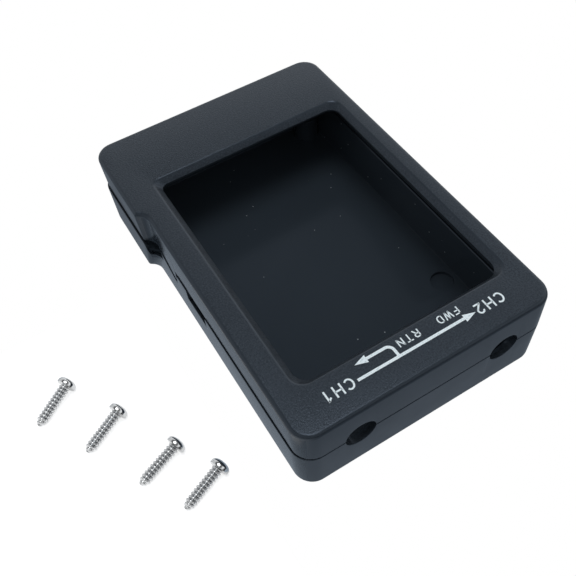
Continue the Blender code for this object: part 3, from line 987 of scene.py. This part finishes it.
@dataclass
class FacePrint:
    """White marks on the face: a name for each port, and two arrows with a name each."""

    top: float = CasePlan.full_height
    thickness: float = 0.03
    stroke: float = 0.62
    main_y: float = -40.4
    main_x: Pair = (-12.7, 14.74)  # start and tip of the straight arrow
    head: Pair = (2.7, 1.75)  # length and width of an arrow head
    back_x: Pair = (-3.3, -11.46)  # start and tip of the arrow that turns back
    back_y: float = -37.45
    back_bend: float = 1.3
    letter_stroke: float = 0.150  # width of a letter's stroke over its height

    # Each name: its letters, the middle of its line, the pitch and the height of its letters.
    names: tuple[tuple[str, str, float, float, float, float], ...] = (
        ("port_name_left", "CH1", -16.8, -40.2, 2.4, 2.5),
        ("port_name_right", "CH2", 18.3, -40.2, 2.4, 2.5),
        ("return_name", "RTN", 0.5, -38.1, 1.86, 1.8),
        ("forward_name", "FWD", 9.9, -38.1, 1.9, 1.8),
    )

    def band(self, path: np.ndarray, width: float) -> np.ndarray:
        """Outline of a band of even width along a path: p + n w / 2 out, and p - n w / 2 back.

        Args:
            path: points of its middle line, p, with n square to it.
            width: its width, w.

        Returns:
            X and Y of each point of the outline.
        """
        along = np.gradient(path, axis=0)
        along /= np.linalg.norm(along, axis=1, keepdims=True)
        across = np.stack([-along[:, 1], along[:, 0]], axis=1) * width / 2
        return np.vstack([path + across, (path - across)[::-1]])

    def plates(self, name: str, outlines: list[np.ndarray]) -> Object:
        """Thin flat plates, their tops level with the print.

        Args:
            name: name of the object that holds them all.
            outlines: outline of each plate, in millimetres.

        Returns:
            The object.
        """
        points, faces, start = [], [], 0
        for outline in outlines:
            plate = stack_rows([(outline, self.top - self.thickness), (outline, self.top)]).reshape(-1, 3)
            points.append(plate)
            faces += capped_faces(2, len(outline), start)
            start += len(plate)
        return make_object(name, np.vstack(points), faces)

    def lettering(self) -> list[Object]:
        """Names in drawn strokes that read towards -X, with the letters' tops towards -Y.

        Returns:
            One mesh object for each name.
        """
        made = []
        for name, letters, x, y, pitch, height in self.names:
            outlines = []
            for place, letter in enumerate(letters):
                shift = np.array([x - (place - (len(letters) - 1) / 2) * pitch, y + height / 2])
                outlines += [shift - height * self.band(stroke, self.letter_stroke)
                             for stroke in STROKES[letter]]
            made.append(self.plates(name, outlines))
        return made

    def arrow(self, name: str, path: np.ndarray) -> Object:
        """A flat arrow: a band of even width along a path, and a head past its end.

        Args:
            name: name of the object.
            path: points of the arrow's middle line, ending at the base of its head.

        Returns:
            The arrow.
        """
        length, width = self.head
        way = path[-1] - path[-2]
        way = way / np.linalg.norm(way)
        cross = np.array([-way[1], way[0]]) * width / 2
        sides = self.band(path, self.stroke)
        half = len(path)
        tip = np.array([path[-1] + cross, path[-1] + way * length, path[-1] - cross])
        return self.plates(name, [np.vstack([sides[:half], tip, sides[half:]])])

    def arrows(self) -> list[Object]:
        """The straight arrow and the one that turns back from it.

        Returns:
            Both arrows.
        """
        length = self.head[0]
        straight = np.column_stack([np.linspace(self.main_x[0], self.main_x[1] - length, 12),
                                    np.full(12, self.main_y)])
        start, end = self.back_x
        bend = self.back_bend
        turn = np.linspace(0.0, np.pi / 2, 12)
        arc = np.column_stack([start - bend + bend * np.cos(turn), self.back_y - bend + bend * np.sin(turn)])
        level = np.column_stack([np.linspace(start - bend, end + length, 6)[1:], np.full(5, self.back_y)])
        back = np.vstack([[start, self.main_y + self.stroke / 2], arc, level])
        return [self.arrow("forward_arrow", straight), self.arrow("return_arrow", back)]

    def dress(self, marks: list[Object], ink: Material) -> None:
        """Give the marks their ink and let them ride on the front shell.

        Args:
            marks: the built marks.
            ink: material of the print.
        """
        for mark in marks:
            mark.data.materials.append(ink)
            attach(mark, "front_half")


# ---------------------------------------------------------------- screws
@dataclass
class TappingScrew:
    """Pan-head tapping screw with a rolled thread and a cross recess, lying on the table."""

    number: int
    x: float
    y: float
    heading: float  # way its point looks, in degrees from +X
    length: float = 10.0
    crest: float = 1.29
    core: float = 0.84
    pitch: float = 0.8
    round_off: float = 0.85  # power that widens the rounded ridges
    point: float = 1.4  # length of the point
    tip: float = 0.38  # radius of its end
    swell: float = 0.75  # power of the swell behind it
    point_ridge: float = 0.35  # height of the ridge there, over its full height
    fade: Pair = (0.5, 0.25)  # length over which the ridge starts, and stops at the head
    head_radius: float = 2.19
    head_height: float = 1.69
    rim: float = 0.42  # height of the widest part
    dome_power: float = 0.8  # below 1, the dome has a full shoulder
    soft: float = 0.1  # rounding of the head's lower edge
    recess_span: float = 2.2
    recess_width: float = 0.55
    recess_depth: float = 1.1
    root_gap: float = 0.1  # plain length under the head, which the painted root shade leaves bright
    lift: float = 0.01  # clear of the table
    spin: float = 1.3  # turn about its own axis, in radians for each number
    sides: int = 56
    steps_per_pitch: int = 16

    def thread(self) -> np.ndarray:
        """Rings of the thread, from the point up to the head.

        Radius = core + depth * ridge(phase) with phase = z / pitch - t / turn, where the ridge is half a
        sine wave made wider by a power, so its crest is round and its root sharp. Both shrink towards
        the point, and the ridge fades at the head.

        Returns:
            Grid of points, rings by sides.
        """
        rows = int(self.length / self.pitch * self.steps_per_pitch)
        height = np.linspace(-self.length, 0.0, rows + 1)[:, None]
        turn = np.linspace(0.0, 2.0 * np.pi, self.sides, endpoint=False)[None, :]
        phase = (height / self.pitch - turn / (2.0 * np.pi)) % 1.0
        roof = np.sin(np.pi * phase) ** self.round_off
        rise = np.clip((height + self.length) / self.point, 0.0, 1.0)
        taper = self.tip / self.core + (1.0 - self.tip / self.core) * rise ** self.swell
        start, stop = self.fade
        fade = np.clip(-height / stop, 0.0, 1.0) * np.clip((height + self.length) / start, 0.0, 1.0)
        grow = self.point_ridge + (1.0 - self.point_ridge) * rise
        radius = self.core * taper + (self.crest - self.core) * roof * fade * grow
        return revolved(radius, height, turn)

    def head(self) -> np.ndarray:
        """Rings of the head: a fillet, the flat underside, the rounded edge, and the dome.

        The dome is r cos t out and rim + rise * (sin t)^p up, with t from 0 to 90 degrees.

        Returns:
            Grid of points, rings by sides.
        """
        turn = np.linspace(0.0, 2.0 * np.pi, self.sides, endpoint=False)[None, :]
        soft = self.soft
        angle = np.linspace(0.0, np.pi / 2, 15)[:-1]
        dome = self.head_height - self.rim
        profile = [(self.core + 0.12, 0.0), (self.core + 0.35, 0.07), (self.head_radius - soft - 0.25, 0.0),
                   (self.head_radius - soft, 0.0), (self.head_radius - soft * 0.3, soft * 0.3),
                   (self.head_radius, soft)]
        profile += zip(self.head_radius * np.cos(angle), self.rim + dome * np.sin(angle) ** self.dome_power)
        radius, height = (np.array(part)[:, None] for part in zip(*profile))
        return revolved(radius, height, turn)

    def build(self) -> Object:
        """Make the screw upright, cut its recess, and lay it down.

        Returns:
            The screw, with its place in its mesh.
        """
        rings = np.concatenate([self.thread(), self.head()])
        points = np.vstack([rings.reshape(-1, 3), [(0.0, 0.0, -self.length)], [(0.0, 0.0, self.head_height)]])
        rows, columns = rings.shape[:2]
        faces = ring_faces(rows, columns, closed=False).tolist()
        edge, last, end = np.arange(columns), (rows - 1) * columns, rows * columns
        lower = np.stack([np.roll(edge, -1), edge, np.full(columns, end)], axis=1)
        upper = np.stack([last + edge, last + np.roll(edge, -1), np.full(columns, end + 1)], axis=1)
        faces += lower.tolist() + upper.tolist()
        screw = make_object(f"tapping_screw_{self.number}", points, faces)
        long, short = self.recess_span / 2, self.recess_width / 2
        corners = np.array([(-1, -1), (1, -1), (1, 1), (-1, 1)])
        slot = stack_rows([(corners * (long * share, short * (0.7 + 0.3 * share)), self.head_height + above)
                           for share, above in ((0.35, -self.recess_depth), (0.8, -0.45), (1.0, 0.1))])
        for name, angle in (("recess_tool_a", 0.0), ("recess_tool_b", math.pi / 2)):
            tool = make_object(name, slot.reshape(-1, 3), capped_faces(*slot.shape[:2]))
            tool.data.transform(Matrix.Rotation(angle, 4, "Z"))
            carve(screw, tool, "DIFFERENCE")
        self.mark_root_shade(screw)
        stand = self.head_radius + self.lift
        lean = math.atan2(stand - self.crest - self.lift, self.length - self.point)
        place = Matrix.Translation((self.x * MM, self.y * MM, stand * math.cos(lean) * MM))
        turn = Matrix.Rotation(math.radians(self.heading), 4, "Z")
        dip = Matrix.Rotation(lean - math.pi / 2, 4, "Y")
        screw.data.transform(place @ turn @ dip @ Matrix.Rotation(self.number * self.spin, 4, "Z"))
        return screw

    def mark_root_shade(self, screw: Object) -> None:
        """Store how deep each vertex lies in the thread: 0 on the crest and the head, 1 at the root; this
        masks the painted shade in the groove.

        Args:
            screw: the upright screw, in metres.
        """
        places = vectors(screw.data.vertices, "co") / MM
        radius = np.hypot(places[:, 0], places[:, 1])
        depth = np.clip((self.crest - radius) / (self.crest - self.core), 0.0, 1.0)
        threaded = (places[:, 2] < -self.root_gap) & (places[:, 2] > self.point - self.length)
        screw.data.attributes.new("root", "FLOAT", "POINT").data.foreach_set("value", depth * threaded)

    def dress(self, screw: Object, steel: Material) -> None:
        """Give the screw its plating and its place in the frame.

        Args:
            screw: the built screw.
            steel: material of the plating.
        """
        screw.data.materials.append(steel)
        shade(screw)
        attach(screw, f"loose_screw_{self.number}")
        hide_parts(f"screw_{self.number}")


# ---------------------------------------------------------------- studio
@dataclass
class Studio:
    """White table, soft light from above, and the camera."""

    azimuth: float = -26.153
    elevation: float = 53.827
    roll: float = -6.089
    distance: float = 174.448
    target: tuple[float, float, float] = (-5.489, -0.892, 0.0)
    lens: float = 45.60
    sensor: float = 36.0
    nearest: float = 10.0  # where the camera starts to see
    table: float = 1500.0
    table_drop: float = 0.02  # how far the table lies below the case
    paper: float = 0.85  # share of light that it scatters
    bounce: float = 0.48  # light that the table gives back beside the case
    tint: str = "d3e2f2"  # its colour there
    bright_x: Pair = (-37.0, -40.0)  # where the table turns fully bright, towards -X
    bright_y: Pair = (20.0, 14.0)  # and towards -Y
    fill: Pair = (0.30, 0.64)  # its own light there: given back, and seen
    daylight: tuple[float, ...] = (0.96, 0.98, 1.0, 1.0)
    tent: Pair = (0.7, 1.1)  # radiance of the tent at the left and at the right
    side_x: Pair = (-0.2, 0.6)  # X of a direction, from the left's to the right's
    dip: float = 0.2  # share of it that is left at the tent's upper slopes
    dip_z: Pair = (0.6, 0.84)  # Z of a direction where it falls to that
    dim: float = 0.02  # radiance at the horizon on the camera's side
    horizon_tilt: float = 0.35  # how much lower the tent starts at the far side
    horizon_z: Pair = (-0.1, 0.3)  # tilted Z where it rises from dim to full
    lamp: float = 5.0  # extra radiance straight overhead
    lamp_z: Pair = (0.94, 0.99)  # Z of a direction where the lamp starts and is full

    def lay_table(self) -> None:
        """A white table top, lit from within so evenly that only the screws' closest shadows show."""
        half, low = self.table / 2, -self.table_drop
        corners = np.array([(-half, -half, low), (half, -half, low), (half, half, low), (-half, half, low)])
        table = make_object("table", corners, [[0, 1, 2, 3]])
        material, tree, output = new_material("white_paper_table")
        place = node(tree, "TexCoord").outputs["Object"]
        parts = node(tree, "SeparateXYZ", None, {0: place})
        masks = [node(tree, "MapRange", {1: start * MM, 2: end * MM, 3: 0.0, 4: 1.0},
                      {0: parts.outputs[axis]})
                 for axis, (start, end) in (("X", self.bright_x), ("Y", self.bright_y))]
        beside = node(tree, "Math", {"operation": "MULTIPLY"}, {0: masks[0], 1: masks[1]})
        seen = node(tree, "LightPath").outputs["Is Camera Ray"]
        colour = node(tree, "Mix", {"data_type": "RGBA", 6: linear(self.tint), 7: (1.0, 1.0, 1.0, 1.0)},
                      {0: node(tree, "Math", {"operation": "MAXIMUM"}, {0: seen, 1: beside})})
        strength = node(tree, "Mix", {2: self.bounce, 3: 1.0}, {0: seen})
        glow = node(tree, "Emission", None, {"Color": colour.outputs[2], "Strength": strength})
        paper = node(tree, "BsdfDiffuse", {"Color": (*[self.paper] * 3, 1.0)})
        own = node(tree, "Mix", {2: self.fill[0], 3: self.fill[1]}, {0: seen})
        fill = node(tree, "Emission", {"Color": (1.0, 1.0, 1.0, 1.0)}, {"Strength": own})
        lit = node(tree, "AddShader", None, {0: paper, 1: fill})
        both = node(tree, "MixShader", None, {0: beside, 1: glow, 2: lit})
        tree.links.new(both.outputs[0], output.inputs[0])
        table.data.materials.append(material)

    def light(self) -> None:
        """A white tent: even, dim at the horizon, brighter to the right, with a lamp straight overhead."""
        world = bpy.data.worlds.new("studio")
        bpy.context.scene.world = world
        world.use_nodes = True
        tree = world.node_tree
        tree.nodes.clear()
        output = node(tree, "OutputWorld")
        way = node(tree, "TexCoord").outputs["Generated"]
        parts = node(tree, "SeparateXYZ", None, {0: way})
        tilt = node(tree, "Math", {"operation": "MULTIPLY_ADD", 1: self.horizon_tilt},
                    {0: parts.outputs["Y"], 2: parts.outputs["Z"]})
        side = node(tree, "MapRange", dict(enumerate(self.side_x + self.tent, 1)),
                    {0: parts.outputs["X"]})
        smooth = {"interpolation_type": "SMOOTHSTEP"}
        dip = node(tree, "MapRange", {**smooth, **dict(enumerate(self.dip_z + (1.0, self.dip), 1))},
                   {0: parts.outputs["Z"]})
        full = node(tree, "Math", {"operation": "MULTIPLY"}, {0: side, 1: dip})
        tent = node(tree, "MapRange", {**smooth, **dict(enumerate(self.horizon_z + (self.dim,), 1))},
                    {0: tilt, 4: full})
        lamp = node(tree, "MapRange", {**smooth, **dict(enumerate(self.lamp_z + (0.0, self.lamp), 1))},
                    {0: parts.outputs["Z"]})
        sky = node(tree, "Math", {"operation": "ADD"}, {0: tent, 1: lamp})
        seen = node(tree, "LightPath").outputs["Is Camera Ray"]
        strength = node(tree, "Mix", {3: 1.0}, {0: seen, 2: sky})
        back = node(tree, "Background", {"Color": self.daylight}, {"Strength": strength})
        tree.links.new(back.outputs[0], output.inputs[0])

    def place_camera(self) -> None:
        """Stand the camera at its angle, rolled about its own axis, and make it the scene's."""
        around, above, tip = (math.radians(part) for part in (self.azimuth, self.elevation, self.roll))
        flat = math.cos(above)
        back = Vector((math.sin(around) * flat, -math.cos(around) * flat, math.sin(above)))
        right = (-back).cross(Vector((0.0, 0.0, 1.0))).normalized()
        up = right.cross(-back)
        across = math.cos(tip) * right + math.sin(tip) * up
        rise = -math.sin(tip) * right + math.cos(tip) * up
        camera = bpy.data.objects.new("camera", bpy.data.cameras.new("camera"))
        camera.data.lens = self.lens
        camera.data.sensor_width = self.sensor
        camera.data.clip_start = self.nearest * MM
        bpy.context.scene.collection.objects.link(camera)
        turn = Matrix((across, rise, back)).transposed().to_4x4()
        camera.matrix_world = Matrix.Translation((Vector(self.target) + back * self.distance) * MM) @ turn
        bpy.context.scene.camera = camera
        bpy.context.scene.view_settings.view_transform = "Standard"


# X, Y and heading of each loose screw.
SCREW_PLACES = ((-60.6, 2.0, -148.5), (-53.5, -10.2, -154.0), (-46.4, -23.8, -161.0), (-41.0, -32.9, -159.5))


def main() -> None:
    """Build the case, its print and its screws, and light them."""
    logging.basicConfig(level=logging.INFO, format="%(message)s")
    wall, face, inside = (finish.material() for finish in (WALL_ABS, FACE_ABS, INSIDE_ABS_PAINTED_LIGHT))
    plan = CasePlan()
    rear = RearShell(plan)
    rear_case = rear.build()
    rear.dress(rear_case, [wall, face, inside])
    LOG.info("rear shell: %d faces", len(rear_case.data.polygons))
    front = FrontShell(plan)
    front_case = front.build()
    front.dress(front_case, [wall, face, inside])
    LOG.info("front shell: %d faces", len(front_case.data.polygons))
    marks = FacePrint()
    made = marks.lettering() + marks.arrows()
    marks.dress(made, PrintedInk().material())
    LOG.info("print: %d marks", len(made))
    steel = PlatedSteel().material()
    for number, (x, y, heading) in enumerate(SCREW_PLACES, start=1):
        screw = TappingScrew(number, x, y, heading)
        thing = screw.build()
        screw.dress(thing, steel)
        LOG.info("screw %d: %d faces", number, len(thing.data.polygons))
    studio = Studio()
    studio.lay_table()
    studio.light()
    studio.place_camera()


if __name__ == "__main__":
    main()
